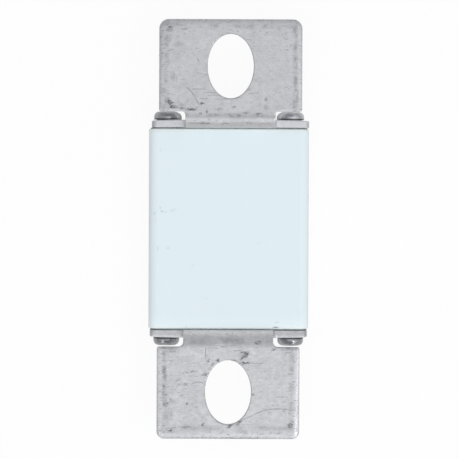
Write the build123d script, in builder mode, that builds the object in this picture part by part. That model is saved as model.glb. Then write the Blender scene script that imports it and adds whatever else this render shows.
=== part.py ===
from build123d import *
from math import sqrt
import os

# High speed fuse: a square ceramic body with a bent, screwed terminal on each end.
# It lies on its back: X runs across it, Y along it and Z out of its labelled front.
# The origin is the middle of the back face. Every size is in millimetres.

# Ceramic body
body_width = 45.0
body_depth = 45.0
body_length = 56.2
wall = 6.0
body_edge_radius = 2.5
body_end_radius = 0.5

# Label on the front, which reaches round both long edges
label_thickness = 0.15
label_left_margin = 0.75
label_right_margin = 0.35
label_end_margin = 0.9

# Gaskets between the body and the terminals
gasket_thickness = 0.25
gasket_margin = 0.5

# Terminals, each bent from one sheet
sheet_thickness = 2.3
bend_inner_radius = 0.9
plate_margin = 0.4
plate_corner_radius = 1.3
neck_width = 25.2
neck_before_bend = 1.4
neck_after_bend = 1.4
tab_width = 40.0
tab_length = 25.8
shoulder_corner_radius = 0.6
bolt_hole_width = 12.9
bolt_hole_length = 18.0
bolt_hole_to_end = 13.1
edge_radius = 0.35

# The two terminals differ a little in their corners and in how they were fitted
upper_shift = 0.4
upper_tab_corner_radius = 2.7
upper_neck_corner_radius = 1.1
lower_shift = 0.0
lower_tab_corner_radius = 2.1
lower_neck_corner_radius = 1.35

# Pan head screws, four on each end
screw_diameter = 4.0
screw_length = 12.0
screw_inset = 5.0
screw_hole_play = 0.1
screw_hole_spare_depth = 1.5
plate_hole_play = 0.25
head_diameter = 7.3
head_height = 2.3
head_edge_radius = 1.5
recess_width = 4.0
recess_slot = 1.0
recess_depth = 1.4
recess_taper = 12.0

# Contact plates inside the bore, with ribs that carry the fuse elements
contact_play = 0.25
contact_thickness = 2.0
rib_count = 4
rib_inset = 6.5
rib_thickness = 2.0
rib_height = 5.0

# Fuse elements, two side by side on each rib
element_thickness = 0.2
element_end_gap = 0.5
element_side_gap = 1.0
element_edge_margin = 0.8
notch_columns = 3
notch_rows = 5
notch_bridge = 1.0

# Sand and the plug of its filling hole
sand_play = 0.1
plug_diameter = 4.0
plug_play = 0.05
plug_stand = 0.5
plug_edge_radius = 0.3

# Places worked out from the sizes above
half_body = body_length / 2
middle_depth = body_depth / 2
bore_radius = min(body_width, body_depth) / 2 - wall
plate_inside = half_body + gasket_thickness
plate_outside = plate_inside + sheet_thickness
plate_width = body_width - 2 * plate_margin
plate_depth = body_depth - 2 * plate_margin
plate_front = body_depth - plate_margin
bend_outer_radius = bend_inner_radius + sheet_thickness
bend_start = plate_front + neck_before_bend
bend_end = plate_inside + bend_outer_radius
tab_back = bend_start + bend_inner_radius
shoulder = bend_end + neck_after_bend
tab_end = shoulder + tab_length
screw_pitch_x = body_width - 2 * screw_inset
screw_pitch_z = body_depth - 2 * screw_inset
contact_radius = bore_radius - contact_play
contact_inside = plate_inside - contact_thickness
outer_rib = bore_radius - rib_inset
rib_pitch = 2 * outer_rib / (rib_count - 1)
rib_tip = contact_inside - rib_height
element_outer_face = outer_rib + rib_thickness / 2 + element_thickness
element_reach = sqrt(contact_radius**2 - element_outer_face**2) - element_edge_margin
element_width = element_reach - element_side_gap / 2
element_length = 2 * (contact_inside - element_end_gap)
notch_pitch_across = element_width / notch_columns
notch_pitch_along = 2 * rib_tip / notch_rows
notch_radius = (notch_pitch_across - notch_bridge) / 2


def across(y):
    """The plane across the fuse at y. It faces the lower end, so extruding by less than 0 goes up."""
    return Plane.XZ.offset(-y)


def out_of_end(y):
    """The plane across the fuse at y, centred on its long axis and facing out of the upper end."""
    return Plane(origin=(0, y, middle_depth), x_dir=(1, 0, 0), z_dir=(0, 1, 0))


def screw_circles(radius, mode=Mode.SUBTRACT):
    """Four circles where the screws go, in a sketch across the fuse."""
    with Locations((0, middle_depth)):
        with GridLocations(screw_pitch_x, screw_pitch_z, 2, 2):
            Circle(radius, mode=mode)


# Ceramic body: a square tube with a round bore and blind holes for the screws
screw_hole_depth = screw_length - sheet_thickness - gasket_thickness + screw_hole_spare_depth
with BuildPart() as ceramic_body:
    with BuildSketch(across(-half_body)):
        with Locations((0, middle_depth)):
            RectangleRounded(body_width, body_depth, body_edge_radius)
    extrude(amount=-body_length)
    body_ends = ceramic_body.edges().group_by(Axis.Y)
    fillet(body_ends[0] + body_ends[-1], body_end_radius)
    with BuildSketch(across(-half_body)):
        with Locations((0, middle_depth)):
            Circle(bore_radius)
    extrude(amount=-body_length, mode=Mode.SUBTRACT)
    for end, direction in ((half_body, 1), (-half_body, -1)):
        with BuildSketch(across(end)):
            screw_circles(screw_diameter / 2 + screw_hole_play, mode=Mode.ADD)
        extrude(amount=direction * screw_hole_depth, mode=Mode.SUBTRACT)

# Label: a thin sheet that follows the front face and its rounded edges
label_left = label_left_margin - body_width / 2
label_right = body_width / 2 - label_right_margin
label_length = body_length - 2 * label_end_margin
with BuildPart() as front_label:
    with BuildSketch(across(-label_length / 2)):
        with Locations((0, middle_depth)):
            RectangleRounded(
                body_width + 2 * label_thickness,
                body_depth + 2 * label_thickness,
                body_edge_radius + label_thickness,
            )
            RectangleRounded(body_width, body_depth, body_edge_radius, mode=Mode.SUBTRACT)
        with Locations(((label_left + label_right) / 2, body_depth)):
            Rectangle(label_right - label_left, body_depth, mode=Mode.INTERSECT)
    extrude(amount=-label_length)


def make_terminal(shift, tab_corner_radius, neck_corner_radius, plug_hole):
    """One terminal on the upper end: a plate, a narrow bent neck and a tab along the front."""
    with BuildPart() as terminal:
        with BuildSketch(across(plate_inside)) as plate:
            with Locations((shift, middle_depth)):
                Rectangle(plate_width, plate_depth)
            fillet(plate.vertices(), plate_corner_radius)
            with Locations((shift, plate_front + neck_before_bend / 2)):
                Rectangle(neck_width, neck_before_bend)
            neck_root = plate.vertices().group_by(Axis.Y)[-2].sort_by(Axis.X)[1:3]
            fillet(neck_root, neck_corner_radius)
            screw_circles(screw_diameter / 2 + plate_hole_play)
            if plug_hole:
                with Locations((0, middle_depth)):
                    Circle(plug_diameter / 2 + plug_play, mode=Mode.SUBTRACT)
        extrude(amount=-sheet_thickness)

        with BuildSketch(Plane.XY.offset(bend_start)):
            with Locations((shift, plate_inside + sheet_thickness / 2)):
                Rectangle(neck_width, sheet_thickness)
        revolve(axis=Axis((0, bend_end, bend_start), (-1, 0, 0)), revolution_arc=90)

        with BuildSketch(Plane.XY.offset(tab_back)) as tab:
            with Locations((shift, shoulder + tab_length / 2)):
                Rectangle(tab_width, tab_length)
            fillet(tab.vertices().group_by(Axis.Y)[-1], tab_corner_radius)
            fillet(tab.vertices().group_by(Axis.Y)[0], shoulder_corner_radius)
            with Locations((shift, bend_end + neck_after_bend / 2)):
                Rectangle(neck_width, neck_after_bend)
            neck_top = tab.vertices().group_by(Axis.Y)[1].sort_by(Axis.X)[1:3]
            fillet(neck_top, neck_corner_radius)
            with Locations((shift, tab_end - bolt_hole_to_end)):
                Ellipse(bolt_hole_width / 2, bolt_hole_length / 2, mode=Mode.SUBTRACT)
        extrude(amount=sheet_thickness)

        # Both outlines of the sheet are smooth all round, so rounding one edge of each rounds it all
        end_edges = terminal.edges().group_by(Axis.Y)[-1].filter_by(Axis.X)
        hole_edges = terminal.edges().filter_by(GeomType.ELLIPSE)
        fillet(end_edges + hole_edges, edge_radius)
    return terminal.part


with BuildPart() as upper_terminal:
    add(make_terminal(upper_shift, upper_tab_corner_radius, upper_neck_corner_radius, plug_hole=True))

with BuildPart() as lower_terminal:
    mirror(
        make_terminal(lower_shift, lower_tab_corner_radius, lower_neck_corner_radius, plug_hole=False),
        about=Plane.XZ,
    )

# Gaskets: thin sheets with the bore's opening and the screws' holes
with BuildPart() as upper_gasket:
    with BuildSketch(across(half_body)):
        with Locations((0, middle_depth)):
            RectangleRounded(
                body_width - 2 * gasket_margin, body_depth - 2 * gasket_margin, plate_corner_radius
            )
            Circle(bore_radius, mode=Mode.SUBTRACT)
        screw_circles(screw_diameter / 2 + plate_hole_play)
    extrude(amount=-gasket_thickness)

with BuildPart() as lower_gasket:
    mirror(upper_gasket.part, about=Plane.XZ)

# Screws: one pan head screw with a cross recess, set four times in each end
with BuildPart() as screw:
    with BuildSketch():
        Circle(head_diameter / 2)
    extrude(amount=head_height)
    fillet(screw.edges().group_by(Axis.Z)[-1], head_edge_radius)
    with BuildSketch():
        Circle(screw_diameter / 2)
    extrude(amount=-screw_length)
    with BuildSketch(Plane.XY.offset(head_height)):
        Rectangle(recess_width, recess_slot)
        Rectangle(recess_slot, recess_width)
    extrude(amount=-recess_depth, taper=recess_taper, mode=Mode.SUBTRACT)

with BuildPart(out_of_end(plate_outside)) as upper_screws:
    with GridLocations(screw_pitch_x, screw_pitch_z, 2, 2):
        add(screw.part)

with BuildPart() as lower_screws:
    mirror(upper_screws.part, about=Plane.XZ)


def make_contact_plate(filling_hole):
    """A round plate on the inside of the upper terminal, with ribs that point into the bore."""
    with BuildPart() as contact_plate:
        with BuildSketch(across(contact_inside)):
            with Locations((0, middle_depth)):
                Circle(contact_radius)
                if filling_hole:
                    Circle(plug_diameter / 2, mode=Mode.SUBTRACT)
        extrude(amount=-contact_thickness)
        with BuildSketch(across(contact_inside)):
            with Locations((0, middle_depth)):
                with GridLocations(0, rib_pitch, 1, rib_count):
                    Rectangle(2 * element_reach, rib_thickness)
                Circle(contact_radius, mode=Mode.INTERSECT)
        extrude(amount=rib_height)
    return contact_plate.part


with BuildPart() as upper_contact_plate:
    add(make_contact_plate(filling_hole=True))

with BuildPart() as lower_contact_plate:
    mirror(make_contact_plate(filling_hole=False), about=Plane.XZ)

# Fuse elements: thin strips with rows of round notches, each laid on the ribs of both ends
fuse_elements = []
for rib in range(rib_count):
    rib_face = middle_depth - outer_rib + rib * rib_pitch + rib_thickness / 2
    for side in (-1, 1):
        with BuildPart() as fuse_element:
            with BuildSketch(Plane.XY.offset(rib_face)):
                with Locations((side * (element_side_gap + element_width) / 2, 0)):
                    Rectangle(element_width, element_length)
                    with GridLocations(
                        notch_pitch_across, notch_pitch_along, notch_columns, notch_rows
                    ):
                        Circle(notch_radius, mode=Mode.SUBTRACT)
            extrude(amount=element_thickness)
        fuse_elements.append(fuse_element.part)

# Sand: fills the bore round the ribs and strips, and the filling hole up to its plug
with BuildPart() as sand_filler:
    with BuildSketch(across(-contact_inside)):
        with Locations((0, middle_depth)):
            Circle(bore_radius - sand_play)
    extrude(amount=-2 * contact_inside)
    with BuildSketch(across(contact_inside)):
        with Locations((0, middle_depth)):
            Circle(plug_diameter / 2)
    extrude(amount=-contact_thickness)
    add(upper_contact_plate.part, mode=Mode.SUBTRACT)
    add(lower_contact_plate.part, mode=Mode.SUBTRACT)
    for element in fuse_elements:
        add(element, mode=Mode.SUBTRACT)

# Plug: closes the filling hole in the upper terminal
with BuildPart() as fill_plug:
    with BuildSketch(across(plate_inside)):
        with Locations((0, middle_depth)):
            Circle(plug_diameter / 2)
    extrude(amount=-(sheet_thickness + plug_stand))
    fillet(fill_plug.edges().group_by(Axis.Y)[-1], plug_edge_radius)

pieces = {
    "ceramic_body": ceramic_body.part,
    "front_label": front_label.part,
    "upper_terminal": upper_terminal.part,
    "lower_terminal": lower_terminal.part,
    "upper_gasket": upper_gasket.part,
    "lower_gasket": lower_gasket.part,
    "upper_screws": upper_screws.part,
    "lower_screws": lower_screws.part,
    "upper_contact_plate": upper_contact_plate.part,
    "lower_contact_plate": lower_contact_plate.part,
    "sand_filler": sand_filler.part,
    "fill_plug": fill_plug.part,
}
for number, element in enumerate(fuse_elements, start=1):
    pieces[f"fuse_element_{number}"] = element

os.makedirs("parts", exist_ok=True)
for name, piece in pieces.items():
    piece.label = name
    export_step(piece, f"parts/{name}.step")
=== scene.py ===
from math import cos, pi, radians, sin

import bmesh
import bpy
from mathutils import Matrix, Vector


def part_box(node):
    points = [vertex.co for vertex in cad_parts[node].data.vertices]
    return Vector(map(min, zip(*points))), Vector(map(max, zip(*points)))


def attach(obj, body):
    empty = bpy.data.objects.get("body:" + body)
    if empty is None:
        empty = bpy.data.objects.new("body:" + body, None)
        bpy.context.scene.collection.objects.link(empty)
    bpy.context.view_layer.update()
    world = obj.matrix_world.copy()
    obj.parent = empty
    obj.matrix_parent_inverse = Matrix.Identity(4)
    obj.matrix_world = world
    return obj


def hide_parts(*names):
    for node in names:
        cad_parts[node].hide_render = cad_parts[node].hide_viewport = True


# High speed fuse, lying on its back: X across it, Y along it, Z out of its labelled front.
# Lengths are in millimetres and turn into metres where a mesh, lamp or camera is made.
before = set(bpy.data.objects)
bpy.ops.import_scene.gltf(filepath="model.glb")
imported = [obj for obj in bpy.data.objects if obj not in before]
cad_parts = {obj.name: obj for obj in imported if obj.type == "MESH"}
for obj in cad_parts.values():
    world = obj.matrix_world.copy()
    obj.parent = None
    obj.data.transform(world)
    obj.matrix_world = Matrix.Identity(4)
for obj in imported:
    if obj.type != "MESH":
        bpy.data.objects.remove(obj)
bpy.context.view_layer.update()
MM = 0.001


def box_mm(node):
    """The lowest and highest corner of a CAD node, in millimetres."""
    low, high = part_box(node)
    return low / MM, high / MM


# Places read from the CAD nodes
body_front = box_mm("ceramic_body")[1].z
body_middle_depth = body_front / 2
tab_front = box_mm("upper_terminal")[1].z

# Sheet of the terminals
SHEET = 2.3
BEND_OUTER_RADIUS = 3.2
NECK_WIDTH = 25.2
PLATE_CORNER_RADIUS = 1.3
SHOULDER_CORNER_RADIUS = 0.6
TAB_WIDTH = 40.0
TAB_LENGTH = 25.8
BOLT_HOLE_WIDTH = 12.9
BOLT_HOLE_LENGTH = 18.0
BOLT_HOLE_TO_END = 13.1
SCREW_PITCH = 35.0
SCREW_HOLE_RADIUS = 2.25
PLUG_HOLE_RADIUS = 2.05

# How the punch left the sheet's edges: a wide soft roll in front and a small rounding behind.
# Only the tab's outer edges have the whole roll, and the other corners have a share of it.
ROLL_WIDTH = 1.8
ROLL_DEPTH = 0.65
SHOULDER_ROLL_SHARE = 0.6
NOTCH_ROLL_SHARE = 0.25
BACK_ROLL_WIDTH = 0.35
BACK_ROLL_DEPTH = 0.35
HOLE_ROLL_WIDTH = 0.3
HOLE_ROLL_DEPTH = 0.3

# How much thinner the plate is at its two ends, where the screws have drawn it down.
# Going outwards from the neck, the loss grows with this power of the distance.
PLATE_BOW = 0.3
PLATE_BOW_POWER = 3

# How finely the terminals are meshed, and a narrow strip that keeps their flat faces flat
CORNER_STEPS = 8
ROLL_STEPS = 8
HOLE_STEPS = 96
BEND_STEPS = 20
BOW_STEPS = 6
GUARD = 0.08
WELD = 1e-5


# Terminal meshes

def front_roll(width, depth):
    """Steps over the front of an edge: distance from the edge, and depth below the front."""
    steps = [(width + GUARD, 0.0)]
    for step in range(ROLL_STEPS + 1):
        angle = pi / 2 * step / ROLL_STEPS
        steps.append((width * (1 - sin(angle)), depth * (1 - cos(angle))))
    return steps


def back_roll(width, depth):
    """Steps over the back of an edge, in the same terms."""
    steps = []
    for step in range(ROLL_STEPS + 1):
        angle = pi / 2 * step / ROLL_STEPS
        steps.append((width * (1 - cos(angle)), SHEET - depth * (1 - sin(angle))))
    steps.append((width + GUARD, SHEET))
    return steps


def corner_ring(corners, inset, depth, in_front):
    """A closed outline with rounded square corners, moved inwards by inset and down by depth.

    In front, each corner takes its own share of both.
    """
    points = []
    for index, (place, radius, roll_share) in enumerate(corners):
        share = roll_share if in_front else 1.0
        before = (place - corners[index - 1][0]).normalized()
        after = (corners[(index + 1) % len(corners)][0] - place).normalized()
        inward_before = Vector((-before.y, before.x))
        inward_after = Vector((-after.y, after.x))
        turn = 1 if inward_before.dot(after) > 0 else -1
        left = max(radius - turn * share * inset, 0.0)
        centre = place + (share * inset + turn * left) * (inward_before + inward_after)
        for step in range(CORNER_STEPS + 1):
            angle = pi / 2 * step / CORNER_STEPS
            point = centre - turn * left * (cos(angle) * inward_before + sin(angle) * inward_after)
            points.append((point.x, point.y, -share * depth))
    return points


def oval_ring(centre, half_width, half_length, outset, depth):
    """An elliptical outline moved outwards by outset and down by depth."""
    points = []
    for step in range(HOLE_STEPS):
        angle = 2 * pi * step / HOLE_STEPS
        outwards = Vector((cos(angle) / half_width, sin(angle) / half_length)).normalized()
        on_edge = Vector((half_width * cos(angle), half_length * sin(angle)))
        point = centre + on_edge + outset * outwards
        points.append((point.x, point.y, -depth))
    return points


def add_wall(mesh, rings):
    """Joins each ring of an edge to the next one."""
    previous = None
    for points in rings:
        ring = [mesh.verts.new(point) for point in points]
        if previous:
            for index in range(len(ring)):
                after = (index + 1) % len(ring)
                mesh.faces.new((previous[index], previous[after], ring[after], ring[index]))
        previous = ring


def fill_face(mesh, depth):
    """Fills the flat front or back between its outline and its holes."""
    rim = []
    for edge in mesh.edges:
        if edge.is_boundary and all(abs(vertex.co.z + depth) < WELD for vertex in edge.verts):
            rim.append(edge)
    bmesh.ops.triangle_fill(mesh, edges=rim, use_beauty=True)


class Pattern:
    """The flat pattern of one terminal, with its places read off the CAD node.

    Its first coordinate runs across, and its second up the square plate, round the bend and out along the
    tab. The plate's outside and the tab's start and end are distances from the body's middle once bent.
    """

    def __init__(self, node):
        low, high = box_mm(node)
        self.middle = (low.x + high.x) / 2
        self.plate_half = (high.x - low.x) / 2
        self.wing = self.plate_half - NECK_WIDTH / 2
        self.plate_bottom = low.z
        self.plate_top = low.z + 2 * self.plate_half
        self.bend_start = high.z - BEND_OUTER_RADIUS
        self.bend_length = pi / 2 * BEND_OUTER_RADIUS
        self.bend_stop = self.bend_start + self.bend_length
        plate_inside = min(abs(low.y), abs(high.y))
        self.plate_outside = plate_inside + SHEET
        self.tab_start = plate_inside + BEND_OUTER_RADIUS
        self.tab_end = max(abs(low.y), abs(high.y))
        self.end = self.bend_stop + self.tab_end - self.tab_start
        self.shoulder = self.end - TAB_LENGTH

    def corners(self, tab_corner_radius, neck_corner_radius, plate_roll_share):
        """The outline's corners, each with its place, radius and share of the front roll."""
        neck_half = NECK_WIDTH / 2
        tab_half = TAB_WIDTH / 2
        right_side = (
            (self.plate_half, self.plate_bottom, PLATE_CORNER_RADIUS, plate_roll_share),
            (self.plate_half, self.plate_top, PLATE_CORNER_RADIUS, plate_roll_share),
            (neck_half, self.plate_top, neck_corner_radius, plate_roll_share),
            (neck_half, self.shoulder, neck_corner_radius, NOTCH_ROLL_SHARE),
            (tab_half, self.shoulder, SHOULDER_CORNER_RADIUS, SHOULDER_ROLL_SHARE),
            (tab_half, self.end, tab_corner_radius, 1.0),
        )
        corners = []
        for across, along, radius, roll_share in right_side:
            corners.append((Vector((self.middle + across, along)), radius, roll_share))
        for across, along, radius, roll_share in reversed(right_side):
            corners.append((Vector((self.middle - across, along)), radius, roll_share))
        return corners

    def holes(self, plug_hole):
        """The holes, each with its centre and its half width and length."""
        bolt_place = Vector((self.middle, self.end - BOLT_HOLE_TO_END))
        holes = [(bolt_place, BOLT_HOLE_WIDTH / 2, BOLT_HOLE_LENGTH / 2)]
        for side in (-1, 1):
            for level in (-1, 1):
                place = Vector((side * SCREW_PITCH / 2, body_middle_depth + level * SCREW_PITCH / 2))
                holes.append((place, SCREW_HOLE_RADIUS, SCREW_HOLE_RADIUS))
        if plug_hole:
            holes.append((Vector((0.0, body_middle_depth)), PLUG_HOLE_RADIUS, PLUG_HOLE_RADIUS))
        return holes

    def cut(self, mesh):
        """Cuts the flat mesh across its bend, and across its plate where that is drawn down."""
        bend_cuts = [self.bend_start - GUARD, self.bend_stop + GUARD]
        for step in range(BEND_STEPS + 1):
            bend_cuts.append(self.bend_start + self.bend_length * step / BEND_STEPS)
        cuts = [((0.0, cut, 0.0), (0.0, 1.0, 0.0)) for cut in bend_cuts]
        for side in (-1, 1):
            for step in range(1, BOW_STEPS):
                aside = NECK_WIDTH / 2 + self.wing * step / BOW_STEPS
                cuts.append(((self.middle + side * aside, 0.0, 0.0), (1.0, 0.0, 0.0)))
        for place, direction in cuts:
            everything = mesh.verts[:] + mesh.edges[:] + mesh.faces[:]
            bmesh.ops.bisect_plane(mesh, geom=everything, dist=WELD, plane_co=place, plane_no=direction)

    def fold(self, mesh, end):
        """Draws the plate's ends down, folds the flat mesh and sets it on one end of the body."""
        for vertex in mesh.verts:
            across, along, height = vertex.co
            if along < self.bend_start:
                beyond_neck = max(abs(across - self.middle) - NECK_WIDTH / 2, 0.0)
                bow = PLATE_BOW * (beyond_neck / self.wing) ** PLATE_BOW_POWER
                height *= 1 - bow / SHEET
            radius = BEND_OUTER_RADIUS + height
            before = min(along - self.bend_start, 0.0)
            beyond = max(along - self.bend_stop, 0.0)
            angle = pi / 2 * min(max((along - self.bend_start) / self.bend_length, 0.0), 1.0)
            outwards = self.tab_start - radius * cos(angle) + beyond
            upwards = self.bend_start + radius * sin(angle) + before
            vertex.co = Vector((across, end * outwards, upwards)) * MM
        bmesh.ops.recalc_face_normals(mesh, faces=mesh.faces)


def make_terminal(node, end, tab_corner_radius, neck_corner_radius, plate_roll_share, plug_hole):
    """One terminal: its flat pattern with worked edges, bent round and set on its end of the body.

    The end is 1 or -1, as on Y.
    """
    pattern = Pattern(node)
    corners = pattern.corners(tab_corner_radius, neck_corner_radius, plate_roll_share)
    rings = [corner_ring(corners, *step, True) for step in front_roll(ROLL_WIDTH, ROLL_DEPTH)]
    rings += [corner_ring(corners, *step, False) for step in back_roll(BACK_ROLL_WIDTH, BACK_ROLL_DEPTH)]
    hole_roll = front_roll(HOLE_ROLL_WIDTH, HOLE_ROLL_DEPTH) + back_roll(HOLE_ROLL_WIDTH, HOLE_ROLL_DEPTH)

    mesh = bmesh.new()
    add_wall(mesh, rings)
    for hole in pattern.holes(plug_hole):
        add_wall(mesh, [oval_ring(*hole, *step) for step in hole_roll])
    bmesh.ops.remove_doubles(mesh, verts=mesh.verts, dist=WELD)
    fill_face(mesh, 0.0)
    fill_face(mesh, SHEET)
    pattern.cut(mesh)
    pattern.fold(mesh, end)
    for face in mesh.faces:
        face.smooth = True

    data = bpy.data.meshes.new(f"{node}_sheet")
    mesh.to_mesh(data)
    mesh.free()
    piece = bpy.data.objects.new(f"{node}_sheet", data)
    bpy.context.scene.collection.objects.link(piece)
    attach(piece, "root")
    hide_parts(node)
    return piece


# Materials

# What a mark's third coordinate is divided by, so that it no longer counts
FLAT = 10000.0

# A smudge is darkest up to its core and gone at its reach, which are shares of its half sizes
SMUDGE_CORE = 0.2
SMUDGE_REACH = 1.3

# So is a scratch, in millimetres from its line, and it fades out from this share of its half length
SCRATCH_CORE = 0.02
SCRATCH_REACH = 0.18
SCRATCH_FADE_START = 0.7


class Graph:
    """The nodes of one material, with short calls for the kinds that are used here."""

    def __init__(self, name):
        self.material = bpy.data.materials.new(name)
        self.material.use_nodes = True
        self.tree = self.material.node_tree
        self.shader = self.tree.nodes["Principled BSDF"]

    def add(self, kind, inputs, **settings):
        """A node of a kind, with its inputs by name or number."""
        node = self.tree.nodes.new("ShaderNode" + kind)
        for name, value in settings.items():
            setattr(node, name, value)
        for key, value in inputs.items():
            self.put(node.inputs[key], value)
        return node

    def put(self, socket, value):
        """Links or sets one input."""
        if isinstance(value, bpy.types.NodeSocket):
            self.tree.links.new(value, socket)
        else:
            socket.default_value = value

    def set(self, **inputs):
        """Inputs of the surface shader, by name with _ for a space."""
        for name, value in inputs.items():
            self.put(self.shader.inputs[name.replace("_", " ").title()], value)

    def place(self):
        """The place on the object, in millimetres."""
        coordinates = self.add("TexCoord", {})
        return self.scale(coordinates.outputs["Object"], (1 / MM, 1 / MM, 1 / MM))

    def split(self, vector):
        """Its X, Y and Z."""
        return self.add("SeparateXYZ", {0: vector}).outputs[:]

    def scale(self, vector, factors):
        """A vector with each coordinate multiplied by its own factor."""
        return self.add("VectorMath", {0: vector, 1: factors}, operation="MULTIPLY").outputs[0]

    def math(self, operation, first, second=0.0, clamp=False):
        """One or two numbers put through an operation."""
        return self.add("Math", {0: first, 1: second}, operation=operation, use_clamp=clamp).outputs[0]

    def distance(self, value, place):
        """How far a number is from another."""
        return self.math("ABSOLUTE", self.math("SUBTRACT", value, place))

    def range(self, value, start, stop, low=0.0, high=1.0):
        """A smooth step from low, where value is start, to high, where it is stop."""
        inputs = {"Value": value, "From Min": start, "From Max": stop, "To Min": low, "To Max": high}
        return self.add("MapRange", inputs, interpolation_type="SMOOTHSTEP").outputs["Result"]

    def noise(self, vector, size, detail=2.0, roughness=0.5, output="Fac"):
        """Noise from 0 to 1, whose features are about size millimetres across."""
        inputs = {"Vector": vector, "Scale": 1 / size, "Detail": detail, "Roughness": roughness}
        return self.add("TexNoise", inputs).outputs[output]

    def wander(self, place, size, reach):
        """The place moved about in X and Y, so that what is put there gets a loose outline."""
        noise = self.noise(place, size, detail=3.0, roughness=0.7, output="Color")
        centred = self.add("VectorMath", {0: noise, 1: (0.5, 0.5, 0.5)}, operation="SUBTRACT").outputs[0]
        moved = self.scale(centred, (reach, reach, 0.0))
        return self.add("VectorMath", {0: place, 1: moved}, operation="ADD").outputs[0]

    def mix(self, factor, first, second):
        """A colour between two others."""
        inputs = {0: factor, 6: first, 7: second}
        return self.add("Mix", inputs, data_type="RGBA").outputs[2]

    def between(self, factor, first, second):
        """A number between two others."""
        return self.add("Mix", {0: factor, 2: first, 3: second}).outputs[0]

    def tint(self, colour, tone):
        """A colour made lighter or darker by a number."""
        plain = colour if isinstance(colour, bpy.types.NodeSocket) else colour[:3]
        return self.add("VectorMath", {0: plain, "Scale": tone}, operation="SCALE").outputs[0]

    def bump(self, height, depth):
        """Relief of a height from 0 to 1, depth millimetres deep."""
        return self.add("Bump", {"Height": height, "Distance": depth * MM}).outputs["Normal"]

    def local(self, place, x, y, angle, scale):
        """The place in a mark's own frame, whose first axis runs at angle degrees."""
        inputs = {
            "Vector": place,
            "Location": (x, y, 0.0),
            "Rotation": (0.0, 0.0, radians(angle)),
            "Scale": scale,
        }
        return self.add("Mapping", inputs, vector_type="TEXTURE").outputs[0]

    def strongest(self, marks):
        """The highest of some numbers."""
        total = 0.0
        for mark in marks:
            total = self.math("MAXIMUM", mark, total)
        return total

    def smudges(self, place, smudges):
        """Soft oval marks."""
        marks = []
        for x, y, half_length, half_width, angle, strength in smudges:
            local = self.local(place, x, y, angle, (half_length, half_width, FLAT))
            distance = self.add("VectorMath", {0: local}, operation="LENGTH").outputs["Value"]
            marks.append(self.range(distance, SMUDGE_CORE, SMUDGE_REACH, strength, 0.0))
        return self.strongest(marks)

    def scratches(self, place, scratches):
        """Thin bowed lines, which fade out at both ends."""
        marks = []
        for x, y, half_length, angle, rise, strength in scratches:
            local = self.local(place, x, y, angle, (1.0, 1.0, 1.0))
            along, aside, _ = self.split(local)
            bow = self.math("MULTIPLY", self.math("MULTIPLY", along, along), rise / half_length**2)
            off_line = self.distance(self.math("ADD", aside, bow), rise)
            line = self.range(off_line, SCRATCH_CORE, SCRATCH_REACH, strength, 0.0)
            fade_start = SCRATCH_FADE_START * half_length
            ends = self.range(self.math("ABSOLUTE", along), fade_start, half_length, 1.0, 0.0)
            marks.append(self.math("MULTIPLY", line, ends))
        return self.strongest(marks)


def linear(red, green, blue):
    """A colour given as it shows on a screen, from 0 to 255, as the shader's linear values."""
    channels = []
    for value in (red / 255, green / 255, blue / 255):
        channels.append(value / 12.92 if value <= 0.04045 else ((value + 0.055) / 1.055) ** 2.4)
    return (*channels, 1.0)


# Smudges on the front of each tab: x, y, half length, half width, angle in degrees, strength
UPPER_SMUDGES = (
    (-16.7, 56.1, 1.2, 0.9, 40, 0.9),
    (-12.4, 56.0, 1.0, 0.35, 0, 0.7),
    (-17.6, 51.7, 0.9, 0.5, 10, 0.55),
    (-17.0, 53.0, 1.6, 0.8, 60, 0.35),
    (-14.0, 51.6, 1.6, 0.9, 0, 0.25),
    (-17.2, 47.0, 0.9, 0.7, 90, 0.35),
    (-6.5, 43.0, 0.5, 0.45, 0, 0.45),
    (-15.7, 42.4, 1.9, 0.9, 95, 0.3),
    (-16.7, 35.4, 1.6, 1.0, -45, 1.0),
    (-15.6, 34.2, 1.5, 0.6, 0, 0.9),
    (-7.6, 35.1, 0.8, 0.5, 0, 1.0),
    (-10.8, 33.5, 2.2, 0.5, 0, 1.0),
    (-7.9, 32.3, 0.5, 0.45, 0, 0.9),
    (-6.2, 32.8, 0.6, 0.45, 90, 0.8),
    (1.3, 34.2, 0.9, 0.45, 0, 1.0),
    (8.3, 32.3, 1.0, 0.45, 8, 0.9),
    (-13.2, 33.9, 1.2, 0.45, 0, 0.6),
    (4.6, 32.6, 1.4, 0.4, 0, 0.5),
    (-3.0, 33.6, 1.2, 0.4, 0, 0.5),
    (10.4, 36.3, 0.6, 0.45, 90, 0.8),
    (7.6, 41.7, 0.6, 0.3, 10, 0.5),
    (19.0, 36.7, 1.5, 0.45, 90, 0.45),
    (18.6, 39.0, 0.8, 0.4, 90, 0.5),
    (18.6, 42.0, 2.0, 0.5, 92, 0.5),
    (18.7, 51.0, 3.0, 0.5, 88, 0.3),
    (18.2, 55.6, 1.3, 0.6, 100, 0.5),
    (6.2, 57.1, 1.6, 0.4, 0, 0.35),
    (-6.6, 29.6, 2.2, 0.4, 0, 0.6),
    (-1.0, 29.5, 2.0, 0.35, 0, 0.45),
    (5.5, 29.7, 2.6, 0.35, 0, 0.4),
    (-17.4, 57.2, 1.4, 0.8, 0, 0.4),
    (-14.5, 57.2, 2.4, 0.7, 0, 0.35),
    (-18.3, 38.6, 1.3, 0.8, 90, 0.4),
    (-18.2, 34.3, 1.0, 0.8, 0, 0.4),
    (-12.8, 34.7, 1.6, 0.6, 0, 0.3),
    (10.3, 34.0, 1.1, 0.9, 90, 0.35),
    (2.6, 36.8, 1.4, 0.5, 0, 0.35),
    (5.0, 39.0, 1.3, 0.5, 0, 0.3),
)
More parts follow.
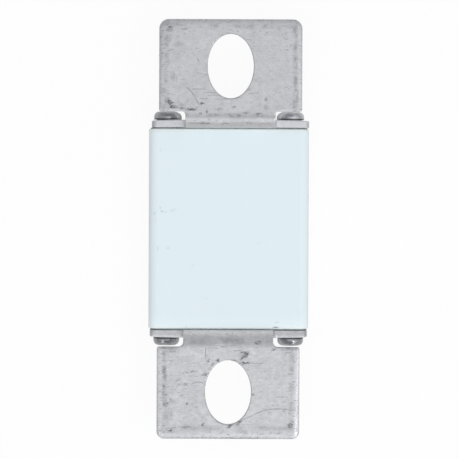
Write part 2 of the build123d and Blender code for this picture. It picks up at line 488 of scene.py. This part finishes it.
LOWER_SMUDGES = (
    (4.4, -34.5, 1.3, 0.45, 0, 0.9),
    (4.7, -35.2, 1.5, 0.9, 50, 1.0),
    (5.2, -34.9, 0.7, 0.6, 0, 1.0),
    (3.9, -36.2, 0.9, 0.5, 30, 1.0),
    (4.9, -37.4, 1.8, 0.45, 0, 1.0),
    (1.7, -36.6, 1.2, 0.35, -8, 0.7),
    (-2.8, -36.6, 0.8, 0.5, 35, 0.95),
    (-4.3, -37.8, 0.8, 0.4, 45, 0.6),
    (-6.4, -40.6, 1.2, 0.5, 10, 0.65),
    (-16.0, -34.3, 2.2, 0.4, 2, 0.5),
    (-11.8, -40.2, 1.2, 0.4, 0, 0.55),
    (-17.9, -39.3, 1.4, 0.7, 90, 0.85),
    (-17.9, -44.0, 0.7, 0.7, 0, 0.75),
    (-17.4, -46.4, 0.6, 0.5, 0, 0.6),
    (-17.5, -48.9, 1.0, 0.9, 80, 0.95),
    (-15.8, -47.6, 0.6, 0.4, 0, 0.5),
    (-11.4, -48.9, 0.6, 0.4, 0, 0.75),
    (-12.9, -46.6, 0.6, 0.4, 0, 0.45),
    (7.1, -46.3, 0.5, 0.5, 0, 0.75),
    (0.5, -55.2, 1.2, 0.45, 20, 0.9),
    (3.2, -54.1, 1.6, 0.4, 38, 0.9),
    (-7.0, -54.7, 0.9, 0.4, 80, 0.8),
    (-11.8, -55.4, 2.0, 0.4, 0, 0.6),
    (-16.1, -56.3, 1.4, 0.8, -10, 0.85),
    (17.5, -54.7, 1.5, 0.9, 70, 0.9),
    (14.2, -57.0, 0.9, 0.4, 0, 0.5),
    (17.4, -40.5, 0.9, 0.35, 0, 0.5),
    (12.9, -33.6, 1.0, 0.4, 15, 0.6),
    (8.4, -31.7, 1.1, 0.6, 0, 1.0),
    (-5.6, -36.8, 0.8, 0.35, 50, 0.6),
    (16.9, -34.4, 1.7, 0.35, 3, 0.5),
    (18.3, -37.2, 1.9, 0.45, 90, 0.4),
    # This long one is painted shade along the tab's end edge, in place of a darker reflection
    (0.0, -58.5, 18.0, 0.35, 0, 0.5),
    (9.8, -55.3, 2.0, 0.4, 0, 0.3),
    (13.5, -55.7, 1.1, 0.45, 0, 0.3),
    (12.0, -57.1, 1.3, 0.4, 0, 0.3),
    (-5.0, -56.0, 1.6, 0.4, 0, 0.45),
    (4.0, -56.6, 1.6, 0.4, 0, 0.45),
    (-9.8, -39.9, 1.5, 0.4, 0, 0.5),
    (-11.8, -43.4, 0.9, 0.4, 0, 0.5),
    (-14.0, -42.4, 0.8, 0.4, 20, 0.4),
    # These two are painted shade over the shoulder edges, dimming their reflection of the sky
    (-16.3, -33.5, 3.4, 0.5, 0, 0.4),
    (16.6, -33.5, 3.2, 0.6, 0, 0.5),
    (18.0, -35.6, 1.2, 0.8, 90, 0.35),
    (-16.8, -52.3, 2.2, 1.6, 80, 0.3),
    (-15.7, -48.3, 1.0, 0.8, 0, 0.35),
    (-15.4, -55.4, 1.4, 0.9, 0, 0.35),
)

# Scratches on them: x and y of the chord's middle, half length, angle in degrees, rise, strength
UPPER_SCRATCHES = (
    (-10.4, 37.2, 3.6, -55, 0.6, 0.55),
    (-8.8, 47.4, 0.8, -62, 0.05, 0.5),
    (-8.3, 39.1, 2.3, 0, 0.05, 0.35),
    (-5.5, 38.2, 1.9, 0, 0.05, 0.4),
    (-7.2, 36.5, 1.2, 0, 0.03, 0.45),
    (6.8, 38.0, 1.7, 0, 0.05, 0.3),
    (-4.0, 37.4, 2.4, 0, 0.03, 0.3),
    (-2.0, 36.3, 2.0, 0, 0.03, 0.25),
    (-15.4, 42.6, 1.6, 98, 0.1, 0.35),
    (-14.6, 41.9, 1.2, 94, 0.1, 0.3),
)
LOWER_SCRATCHES = (
    (12.5, -51.6, 6.2, 6, 1.3, 0.6),
    (5.3, -52.9, 2.2, 24, 0.1, 0.5),
    (-8.6, -43.4, 2.0, 6, 0.6, 0.55),
    (-12.9, -44.7, 2.2, 20, 1.3, 0.35),
    (-6.2, -34.8, 1.8, 90, 0.1, 0.55),
    (2.7, -34.0, 1.5, 0, 0.05, 0.5),
    (-4.3, -33.3, 1.9, 0, 0.03, 0.4),
    (8.0, -37.5, 2.2, 0, 0.05, 0.5),
    (-9.8, -41.2, 1.6, -4, 0.1, 0.4),
    (-4.8, -39.2, 0.9, 0, 0.05, 0.5),
    (17.2, -43.1, 1.0, -10, 0.1, 0.4),
    (14.5, -46.9, 1.4, 0, 0.05, 0.3),
)

TIN = linear(196, 197, 201)
WARM_TIN = linear(202, 197, 195)
DIRTY_TIN = linear(80, 81, 87)

# Layers of the plating's unevenness: size, factors on X, Y and Z, detail, roughness, strength
TIN_LAYERS = (
    (6.0, (1.0, 1.0, 1.0), 4.0, 0.5, 0.28),
    (1.5, (1.0, 1.0, 1.0), 5.0, 0.7, 0.50),
    (1.0, (0.4, 3.0, 1.0), 3.0, 0.6, 0.34),
    (0.4, (1.0, 1.0, 1.0), 2.0, 0.5, 0.40),
)

# The fine unevenness by which scratches and dirt are worn away
MOTTLE = {"size": 1.5, "detail": 5.0, "roughness": 0.7}

# Going up the bend, the plate's looks turn into the tab's, which are complete this far below its front
TAB_DEPTH = 1.0

# The line of dirt just inside the border and a band across the bend are strongest up to their core.
# The line is gone at its reach, and each band has its own.
RIM_CORE = 0.1
RIM_REACH = 1.1
BAND_CORE = 0.1

# Going inwards from the tab's edges, its border's painted highlight and the denser dashes of dirt fade out
# here
BORDER_HIGHLIGHT_START = 0.8
BORDER_HIGHLIGHT_STOP = 2.2
DASHES_START = 1.0
DASHES_STOP = 6.0

# The plating is duller round the bolt hole and plain again here, as shares of the hole's half sizes
HOLE_RIM_START = 1.03
HOLE_RIM_STOP = 1.06
HOLE_RIM_SHADE = 0.12

# The plate gets painted shade up to this far from its ends, and a painted highlight along its outer rim,
# which comes in between these depths below its outside
PLATE_END_START = 0.2
PLATE_END_STOP = 1.6
PLATE_END_SHADE = 0.25
PLATE_RIM_START = 0.6
PLATE_RIM_STOP = 0.3

# Going round the bend, the plating turns from rough to smooth and from warm to plain between these
# distances before the tab's flat part
WORN_START = 2.0
WORN_STOP = 1.2
WARM_START = 2.8
WARM_STOP = 1.4
BEND_ROUGHNESS = 0.5
TAB_ROUGHNESS = 0.26

# What the fine unevenness adds to that at most
MOTTLE_ROUGHNESS = 0.16


class SheetPlaces:
    """Where a point of one terminal lies, as numbers in its material's graph, in millimetres."""

    def __init__(self, graph, node):
        self.pattern = Pattern(node)
        self.place = graph.place()
        self.across, along, height = graph.split(self.place)
        self.outwards = graph.math("ABSOLUTE", along)
        self.from_middle = graph.distance(self.across, self.pattern.middle)
        self.from_side = graph.math("SUBTRACT", TAB_WIDTH / 2, self.from_middle)
        self.from_end = graph.math("SUBTRACT", self.pattern.tab_end, self.outwards)
        self.from_edge = graph.math("MINIMUM", self.from_side, self.from_end)
        self.on_tab = graph.range(height, tab_front - BEND_OUTER_RADIUS, tab_front - TAB_DEPTH)


def crumbs(graph, place):
    """What breaks a smudge up into small dashes, from 0 to 1."""
    grains = graph.noise(graph.scale(place, (0.7, 1.5, 1.0)), size=0.45, detail=3.0, roughness=0.6)
    return graph.range(grains, start=0.38, stop=0.58, low=0.25, high=1.0)


def tab_marks(graph, place, smudges, scratches):
    """Crumbly smudges with loose outlines, and scratches."""
    smudged = graph.smudges(graph.wander(place, size=0.8, reach=1.5), smudges)
    smudged = graph.math("MULTIPLY", smudged, crumbs(graph, place))
    scratched = graph.scratches(graph.wander(place, size=0.8, reach=0.4), scratches)
    worn = graph.range(graph.noise(place, **MOTTLE), start=0.35, stop=0.5, low=0.3, high=1.0)
    return graph.math("MAXIMUM", smudged, graph.math("MULTIPLY", scratched, worn))


def border_dirt(graph, sheet, side_rim, end_rim):
    """Dirt along the inner side of the tab's border; a rim is its distance from the edge and strength."""
    bands = []
    for from_edge, rim, from_other, other_rim in (
        (sheet.from_side, side_rim, sheet.from_end, end_rim),
        (sheet.from_end, end_rim, sheet.from_side, side_rim),
    ):
        band = graph.range(graph.distance(from_edge, rim[0]), RIM_CORE, RIM_REACH, rim[1], 0.0)
        inside = graph.range(from_other, other_rim[0] - RIM_REACH, other_rim[0])
        bands.append(graph.math("MULTIPLY", band, inside))
    return graph.strongest(bands)


def bend_bands(graph, sheet, rows):
    """Soft bands across the bend; a row is a band's distance from the body's middle, reach and strength."""
    bands = []
    for band_place, reach, strength in rows:
        off_band = graph.distance(sheet.outwards, band_place)
        bands.append(graph.range(off_band, BAND_CORE, reach, strength, 0.0))
    return bands


def tin_dirt(graph, sheet, mottle, marks, side_rim, end_rim, dark_bands):
    """Dirt and dark bands: the marks, small dashes that grow denser towards the border, and the border's
    dirt and the dark bands across the bend, in patches.
    """
    clouds = graph.range(graph.noise(sheet.place, size=4.5, detail=1.0), start=0.42, stop=0.60, low=0.15)
    patches = graph.math("MULTIPLY", graph.range(mottle, start=0.40, stop=0.60, low=0.15), clouds)
    patchy = [border_dirt(graph, sheet, side_rim, end_rim)] + bend_bands(graph, sheet, dark_bands)
    patchy = graph.math("MULTIPLY", graph.strongest(patchy), patches)
    dashes = graph.noise(graph.scale(sheet.place, (0.8, 2.4, 1.0)), size=0.8)
    dashes = graph.math("ADD", dashes, graph.range(sheet.from_edge, DASHES_START, DASHES_STOP, 0.05, 0.0))
    dashes = graph.range(dashes, start=0.62, stop=0.76, low=0.0, high=0.45)
    return graph.math("MULTIPLY", graph.strongest((patchy, dashes, marks)), sheet.on_tab)


def clean_tab(graph, sheet, tone, painted_border_highlight, painted_light_bands):
    """How light the tab's clean plating is: a painted highlight at its border, duller at its hole, and the
    painted light bands across the bend.
    """
    # Painted highlight along the tab's border
    value = graph.math("ADD", graph.range(sheet.from_edge, BORDER_HIGHLIGHT_START, BORDER_HIGHLIGHT_STOP, painted_border_highlight, 0.0), tone)
    hole_middle = sheet.pattern.tab_end - BOLT_HOLE_TO_END
    aside = graph.math("DIVIDE", sheet.from_middle, BOLT_HOLE_WIDTH / 2)
    beyond = graph.math("DIVIDE", graph.distance(sheet.outwards, hole_middle), BOLT_HOLE_LENGTH / 2)
    squares = [graph.math("POWER", share, 2.0) for share in (aside, beyond)]
    from_hole = graph.math("SQRT", graph.math("ADD", *squares))
    dull = [graph.range(from_hole, HOLE_RIM_START, HOLE_RIM_STOP, HOLE_RIM_SHADE, 0.0)]
    for shade in dull + bend_bands(graph, sheet, painted_light_bands):
        value = graph.math("SUBTRACT", value, shade)
    return value


def clean_plate(graph, sheet, tones, painted_rim_highlight):
    """How light the plate's clean plating is from left to right, with painted shade at its ends and a
    painted highlight at its rim.
    """
    half = sheet.pattern.plate_half
    value = graph.range(sheet.across, -half, half, *tones)
    from_end = graph.math("SUBTRACT", half, sheet.from_middle)
    # Painted shade towards the plate's ends
    painted_end_shade = graph.range(from_end, PLATE_END_START, PLATE_END_STOP, PLATE_END_SHADE, 0.0)
    outside = sheet.pattern.plate_outside
    # Painted highlight along the plate's outer rim
    on_rim = graph.range(sheet.outwards, outside - PLATE_RIM_START, outside - PLATE_RIM_STOP, 0.0, painted_rim_highlight)
    return graph.math("ADD", graph.math("SUBTRACT", value, painted_end_shade), on_rim)


def tin_material(name, node, tab_tone, plate_tones, painted_rim_highlight, painted_border_highlight, texture, smudges, scratches,
                 side_rim, end_rim, dark_bands, painted_light_bands):
    """Tin-plated sheet: dull and uneven, with scratches, crumbly smudges and dirt inside its border.

    The tones say how light the tab is, and the plate at its left and right. The plate's outer rim and the
    tab's border get a painted highlight of the given strength. Dark bands and painted light bands run across
    the bend: a dark band darkens the plating in patches, and a painted light band is painted shade that
    darkens it evenly, and painted light that lightens it where its strength is negative.
    """
    graph = Graph(name)
    sheet = SheetPlaces(graph, node)
    mottle = graph.noise(sheet.place, **MOTTLE)
    marks = tab_marks(graph, sheet.place, smudges, scratches)
    dirt = tin_dirt(graph, sheet, mottle, marks, side_rim, end_rim, dark_bands)

    plate_value = clean_plate(graph, sheet, plate_tones, painted_rim_highlight)
    tab_value = clean_tab(graph, sheet, tab_tone, painted_border_highlight, painted_light_bands)
    value = graph.between(sheet.on_tab, plate_value, tab_value)
    for size, factors, detail, roughness, strength in TIN_LAYERS:
        layer = graph.noise(graph.scale(sheet.place, factors), size, detail, roughness)
        change = graph.math("MULTIPLY", graph.math("SUBTRACT", layer, 0.5), strength * texture)
        value = graph.math("ADD", value, change)

    before_tab = graph.math("SUBTRACT", sheet.pattern.tab_start, sheet.outwards)
    worn = graph.range(before_tab, WORN_STOP, WORN_START, low=TAB_ROUGHNESS, high=BEND_ROUGHNESS)
    warm = graph.range(before_tab, WARM_STOP, WARM_START)
    plating = graph.mix(graph.math("MULTIPLY", warm, sheet.on_tab), TIN, WARM_TIN)
    relief = graph.noise(graph.scale(sheet.place, (0.6, 1.8, 1.0)), size=1.0, detail=4.0, roughness=0.65)
    graph.set(
        base_color=graph.mix(dirt, graph.tint(plating, value), DIRTY_TIN),
        metallic=1.0,
        roughness=graph.math("ADD", graph.math("MULTIPLY", mottle, MOTTLE_ROUGHNESS), worn),
        normal=graph.bump(relief, depth=0.012),
    )
    return graph.material


SMUDGE = linear(110, 128, 136)
CERAMIC = linear(229, 237, 239)
CERAMIC_SPECK = linear(176, 170, 160)

# Marks on the strip of ceramic below the label, in the same terms as the tabs' smudges
CERAMIC_SMUDGES = (
    (13.3, -27.6, 1.0, 0.25, 0, 0.8),
    (-11.9, -27.6, 0.4, 0.25, 0, 0.2),
)

# Painted light: along Y, the front grows paler by this share towards the lower terminal, where that terminal
# shades it
PAINTED_LIGHT_END = {"start": -23.0, "stop": -28.0, "low": 0.0, "high": 0.055}

# The ceramic's sides don't get this painted light: going up, it takes it on between these depths below its
# front
FRONT_START = 3.0
FRONT_STOP = 0.5


def ceramic_material():
    """White glazed ceramic with a faint unevenness, a few specks and marks below the label."""
    graph = Graph("white_ceramic")
    place = graph.place()
    _, along, height = graph.split(place)
    on_front = graph.range(height, body_front - FRONT_START, body_front - FRONT_STOP)
    # Painted light on the front towards the lower terminal
    painted_light_end = graph.math("MULTIPLY", graph.range(along, **PAINTED_LIGHT_END), on_front)
    cloud = graph.noise(place, size=7.0, detail=3.0)
    fine = graph.noise(place, size=0.5, detail=3.0, roughness=0.6)
    specks = graph.noise(place, size=0.7, detail=1.0)
    specks = graph.range(specks, start=0.74, stop=0.80, low=0.0, high=0.25)
    value = graph.math("ADD", graph.range(cloud, start=0.2, stop=0.8, low=0.97, high=1.0), painted_light_end)
    clean = graph.mix(specks, graph.tint(CERAMIC, value), CERAMIC_SPECK)
    graph.set(
        base_color=graph.mix(graph.smudges(place, CERAMIC_SMUDGES), clean, SMUDGE),
        roughness=graph.range(fine, start=0.3, stop=0.7, low=0.32, high=0.45),
        normal=graph.bump(fine, depth=0.01),
    )
    return graph.material


LABEL = linear(224, 237, 243)

# Faint smudges on the label, in the same terms
LABEL_SMUDGES = (
    (-19.2, 22.2, 0.35, 0.6, 0, 0.10),
    (-19.2, 5.9, 0.4, 0.4, 0, 0.20),
    (-18.7, 4.9, 0.6, 0.4, -10, 0.26),
    (-17.8, 4.7, 0.7, 0.35, 0, 0.12),
    (-15.7, 5.2, 1.2, 0.5, 15, 0.12),
    (-20.8, 4.3, 0.6, 0.5, 0, 0.16),
    (-20.6, 2.5, 0.4, 1.5, 0, 0.07),
    (-19.8, -5.5, 0.4, 0.9, 0, 0.12),
    (-17.0, -5.4, 0.7, 0.6, 0, 0.12),
    (-10.0, -10.2, 0.5, 0.4, 0, 0.10),
    (-6.3, -19.6, 0.8, 0.4, 0, 0.05),
    (8.5, -3.9, 0.7, 0.5, 0, 0.06),
    (13.6, -26.2, 0.9, 0.4, 20, 0.15),
)


def label_material():
    """Pale blue paper label with a satin coat and a few faint smudges."""
    graph = Graph("pale_blue_label")
    place = graph.place()
    _, along, _ = graph.split(place)
    cloud = graph.noise(place, size=12.0, detail=2.0)
    fibre = graph.noise(graph.scale(place, (1.0, 0.4, 1.0)), size=0.25, detail=3.0)
    smudges = graph.smudges(place, LABEL_SMUDGES)
    value = graph.range(cloud, start=0.2, stop=0.8, low=0.99, high=1.0)
    # Painted light towards the lower terminal
    value = graph.math("ADD", value, graph.range(along, **PAINTED_LIGHT_END))
    graph.set(
        base_color=graph.mix(smudges, graph.tint(LABEL, value), SMUDGE),
        roughness=graph.range(fibre, start=0.3, stop=0.7, low=0.5, high=0.6),
        normal=graph.bump(fibre, depth=0.003),
    )
    return graph.material


GASKET = linear(124, 134, 132)


def gasket_material():
    """Grey fibre sheet."""
    graph = Graph("grey_fibre")
    place = graph.place()
    fibre = graph.noise(graph.scale(place, (0.3, 1.0, 1.0)), size=0.3, detail=4.0, roughness=0.7)
    graph.set(
        base_color=graph.tint(GASKET, graph.range(fibre, start=0.3, stop=0.7, low=0.6, high=1.4)),
        roughness=0.8,
        normal=graph.bump(fibre, depth=0.03),
    )
    return graph.material


COPPER = linear(222, 160, 130)
SILVER = linear(232, 230, 224)
STEEL = linear(170, 171, 174)


def metal_material(name, colour, roughness, grain_depth):
    """A plain machined metal with fine grain."""
    graph = Graph(name)
    place = graph.place()
    grain = graph.noise(place, size=0.4, detail=3.0, roughness=0.6)
    cloud = graph.noise(place, size=2.5, detail=2.0)
    graph.set(
        base_color=graph.tint(colour, graph.range(cloud, start=0.3, stop=0.7, low=0.85, high=1.1)),
        metallic=1.0,
        roughness=graph.range(grain, start=0.3, stop=0.7, low=roughness - 0.05, high=roughness + 0.08),
        normal=graph.bump(grain, grain_depth),
    )
    return graph.material


ZINC = linear(156, 158, 161)
SCREW_BASE_SHADE = linear(46, 46, 48)

# Painted shade on a screw, in the corner between its head and the plate, is thick up to the first height
# above the plate, and gone at the second
BASE_SHADE_CORE = 0.15
BASE_SHADE_REACH = 0.6


def screw_material(terminal, tones):
    """Zinc-plated screw, with painted shade in the corner between its head and the plate.

    The tones say how light the screws on the left and on the right are; where the right one is higher, that
    is painted light from the right.
    """
    graph = Graph(terminal.replace("terminal", "zinc_screw"))
    place = graph.place()
    across, along, _ = graph.split(place)
    grain = graph.noise(place, size=0.4, detail=3.0, roughness=0.6)
    cloud = graph.noise(place, size=1.6, detail=3.0)
    above_plate = graph.math("SUBTRACT", graph.math("ABSOLUTE", along), Pattern(terminal).plate_outside)
    # Painted shade at the foot of each head, where it meets the plate
    base_shade = graph.range(above_plate, BASE_SHADE_CORE, BASE_SHADE_REACH, low=0.9, high=0.0)
    # Painted light from the right, where the right tone is higher
    tone = graph.range(across, -SCREW_PITCH / 2, SCREW_PITCH / 2, *tones)
    value = graph.math("MULTIPLY", graph.range(cloud, start=0.3, stop=0.7, low=0.8, high=1.15), tone)
    graph.set(
        base_color=graph.mix(base_shade, graph.tint(ZINC, value), SCREW_BASE_SHADE),
        metallic=1.0,
        roughness=graph.range(grain, start=0.3, stop=0.7, low=0.14, high=0.26),
        normal=graph.bump(grain, depth=0.004),
    )
    return graph.material


SAND = linear(222, 214, 196)
SAND_SHADE = linear(150, 138, 118)
SAND_GRAIN = 0.4


def sand_material():
    """Quartz sand, grain by grain."""
    graph = Graph("quartz_sand")
    place = graph.place()
    grains = graph.add("TexVoronoi", {"Vector": place, "Scale": 1 / SAND_GRAIN}).outputs["Distance"]
    graph.set(
        base_color=graph.mix(grains, SAND, SAND_SHADE),
        roughness=0.8,
        normal=graph.bump(grains, depth=0.2),
    )
    return graph.material


def dress(nodes, material):
    """Gives CAD nodes a material in place of their plain one."""
    for node in nodes:
        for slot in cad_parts[node].material_slots:
            slot.material = material


def names_with(word):
    """The CAD nodes whose names hold a word."""
    return [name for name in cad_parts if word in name]


dress(["ceramic_body"], ceramic_material())
dress(["front_label"], label_material())
dress(names_with("gasket"), gasket_material())
# Painted light: the upper screws on the right are made lighter, as if lit from the right
dress(["upper_screws"], screw_material("upper_terminal", tones=(1.0, 1.45)))
dress(["lower_screws"], screw_material("lower_terminal", tones=(0.98, 0.98)))
dress(names_with("contact_plate"), metal_material("copper", COPPER, roughness=0.3, grain_depth=0.004))
dress(names_with("fuse_element"), metal_material("silver", SILVER, roughness=0.3, grain_depth=0.002))
dress(["fill_plug"], metal_material("steel_plug", STEEL, roughness=0.35, grain_depth=0.006))
dress(["sand_filler"], sand_material())

upper = make_terminal(
    "upper_terminal",
    end=1,
    tab_corner_radius=2.7,
    neck_corner_radius=1.1,
    plate_roll_share=0.35,
    plug_hole=True,
)
lower = make_terminal(
    "lower_terminal",
    end=-1,
    tab_corner_radius=2.1,
    neck_corner_radius=1.35,
    plate_roll_share=0.45,
    plug_hole=False,
)
upper_tin = tin_material(
    "upper_tin",
    "upper_terminal",
    tab_tone=1.01,
    plate_tones=(1.16, 1.24),
    painted_rim_highlight=0.0,
    painted_border_highlight=0.0,
    texture=0.75,
    smudges=UPPER_SMUDGES,
    scratches=UPPER_SCRATCHES,
    side_rim=(2.0, 0.45),
    end_rim=(2.0, 0.40),
    dark_bands=((31.8, 1.1, 0.5), (29.65, 0.4, 0.3)),
    # Painted shade across the bend
    painted_light_bands=((31.4, 0.9, 0.12),),
)
upper.data.materials.append(upper_tin)
lower_tin = tin_material(
    "lower_tin",
    "lower_terminal",
    tab_tone=1.065,
    plate_tones=(1.12, 1.03),
    painted_rim_highlight=0.25,
    painted_border_highlight=0.08,
    texture=1.0,
    smudges=LOWER_SMUDGES,
    scratches=LOWER_SCRATCHES,
    side_rim=(2.2, 0.55),
    end_rim=(3.1, 0.3),
    dark_bands=((31.3, 1.6, 0.4),),
    # Painted shade on the bend's outer part, and painted light where it starts near the body
    painted_light_bands=((31.8, 1.9, 0.3), (28.8, 1.6, -0.3)),
)
lower.data.materials.append(lower_tin)


# Floor, light and camera

# The floor lies a hair below the part, so that their surfaces don't coincide
FLOOR_HALF = 3000.0
FLOOR_DROP = 0.02
FLOOR_WHITE = (0.9, 0.9, 0.9, 1.0)
FLOOR_GLOW = (1.0, 1.0, 1.0, 1.0)

# How much of the floor is its own glow where it is seen, and where it is reflected
SEEN_SHARE = 0.92
REFLECTED_SHARE = 0.3

# The sky's levels, against how far a direction leans towards the bright side: lean, level
BRIGHT_SIDE = (0.38, -0.46, 0.80)
SKY_LEVELS = ((0.0, 0.64), (0.5, 0.74), (0.66, 0.87), (0.81, 1.0), (1.0, 1.15))

# How much of the sky lights what is dull
SKY_SHARE = 0.65

# Lamps: name, place, size, watts, and whether one only shows in what is shiny or only lights what is dull
LAMPS = (
    ("overhead", (60.0, -80.0, 1200.0), 500.0, 6.05, False),
    ("right_fill", (1000.0, -100.0, 350.0), 300.0, 0.4, False),
    ("right", (430.0, -300.0, 800.0), 160.0, 0.42, True),
    ("left", (-480.0, -300.0, 800.0), 120.0, 0.2, True),
    ("low_right", (460.0, -765.0, 490.0), 120.0, 0.3, True),
    ("low_left", (-460.0, -765.0, 490.0), 120.0, 0.2, True),
)

# The camera stands this far from its target in front, to the right and above, and rolls by degrees.
# The target is beside the middle of the body's front.
SENSOR = 36.0
PICTURE_SIZE = 458
PIXELS_PER_MM = 3.5626
CAMERA_DISTANCE = 1000.0
CAMERA_ASIDE = 1.0
CAMERA_ABOVE = 25.0
CAMERA_ROLL = 0.24
TARGET_ASIDE = 0.1


def make_floor():
    """A white floor whose own light shows to the camera, so that only a soft shadow is left on it."""
    half = FLOOR_HALF * MM
    data = bpy.data.meshes.new("floor")
    corners = [(-half, -half, 0), (half, -half, 0), (half, half, 0), (-half, half, 0)]
    data.from_pydata(corners, [], [(0, 1, 2, 3)])
    floor = bpy.data.objects.new("floor", data)
    floor.location.z = -FLOOR_DROP * MM
    bpy.context.scene.collection.objects.link(floor)
    graph = Graph("white_floor")
    graph.set(base_color=FLOOR_WHITE, roughness=0.9)
    glow = graph.add("Emission", {"Color": FLOOR_GLOW, "Strength": 1.0})
    rays = graph.add("LightPath", {}).outputs
    seen = graph.math("ADD", rays["Is Camera Ray"], rays["Is Transmission Ray"], clamp=True)
    share = graph.math("MULTIPLY", seen, SEEN_SHARE)
    reflected_share = graph.math("MULTIPLY", rays["Is Glossy Ray"], REFLECTED_SHARE)
    share = graph.math("ADD", share, reflected_share)
    blend = graph.add("MixShader", {0: share, 1: graph.shader.outputs[0], 2: glow.outputs[0]})
    output = graph.tree.nodes["Material Output"]
    graph.tree.links.new(blend.outputs[0], output.inputs["Surface"])
    data.materials.append(graph.material)


def make_world():
    """A pale studio, brightest high up to the lower right and darkest low down on the other side."""
    world = bpy.data.worlds.new("studio")
    world.use_nodes = True
    tree = world.node_tree
    tree.nodes.clear()
    coordinates = tree.nodes.new("ShaderNodeTexCoord")
    lean = tree.nodes.new("ShaderNodeVectorMath")
    lean.operation = "DOT_PRODUCT"
    lean.inputs[1].default_value = BRIGHT_SIDE
    tree.links.new(coordinates.outputs["Generated"], lean.inputs[0])
    ramp = tree.nodes.new("ShaderNodeValToRGB")
    tree.links.new(lean.outputs["Value"], ramp.inputs[0])
    for position, _ in SKY_LEVELS[1:-1]:
        ramp.color_ramp.elements.new(position)
    for element, (position, level) in zip(ramp.color_ramp.elements, SKY_LEVELS):
        element.position = position
        element.color = (level, level, level, 1.0)
    background = tree.nodes.new("ShaderNodeBackground")
    tree.links.new(ramp.outputs["Color"], background.inputs["Color"])
    rays = tree.nodes.new("ShaderNodeLightPath")
    strength = tree.nodes.new("ShaderNodeMapRange")
    strength.inputs["To Min"].default_value = 1.0
    strength.inputs["To Max"].default_value = SKY_SHARE
    tree.links.new(rays.outputs["Is Diffuse Ray"], strength.inputs["Value"])
    tree.links.new(strength.outputs["Result"], background.inputs["Strength"])
    world.cycles.sampling_method = "NONE"
    output = tree.nodes.new("ShaderNodeOutputWorld")
    tree.links.new(background.outputs[0], output.inputs["Surface"])
    bpy.context.scene.world = world


def aim(thing, place, target, roll=0.0):
    """Puts a lamp or camera at a place, looking at a target, in millimetres, with Y upwards."""
    back = (place - target).normalized()
    right = Vector((0, 1, 0)).cross(back).normalized()
    up = back.cross(right)
    turn = Matrix((right, up, back)).transposed() @ Matrix.Rotation(roll, 3, "Z")
    thing.matrix_world = Matrix.Translation(place * MM) @ turn.to_4x4()


def make_lamp(name, place, size, watts, for_shine):
    """A round soft light that points at the front, and is only there for what is shiny or what is dull."""
    lamp = bpy.data.lights.new(name, "AREA")
    lamp.shape = "DISK"
    lamp.size = size * MM
    lamp.energy = watts
    light = bpy.data.objects.new(name, lamp)
    light.visible_camera = False
    light.visible_glossy = for_shine
    light.visible_diffuse = not for_shine
    bpy.context.scene.collection.objects.link(light)
    aim(light, Vector(place), Vector((0.0, 0.0, body_front)))


def make_camera():
    """Looks down on the front from a metre away, a little from above its middle."""
    camera_data = bpy.data.cameras.new("camera")
    camera_data.sensor_width = SENSOR
    camera_data.lens = SENSOR * PIXELS_PER_MM * CAMERA_DISTANCE / PICTURE_SIZE
    camera = bpy.data.objects.new("camera", camera_data)
    bpy.context.scene.collection.objects.link(camera)
    target = Vector((TARGET_ASIDE, 0.0, body_front))
    place = target + Vector((CAMERA_ASIDE, CAMERA_ABOVE, CAMERA_DISTANCE))
    aim(camera, place, target, radians(CAMERA_ROLL))
    bpy.context.scene.camera = camera


make_floor()
make_world()
for lamp in LAMPS:
    make_lamp(*lamp)
make_camera()
bpy.context.scene.view_settings.view_transform = "Standard"
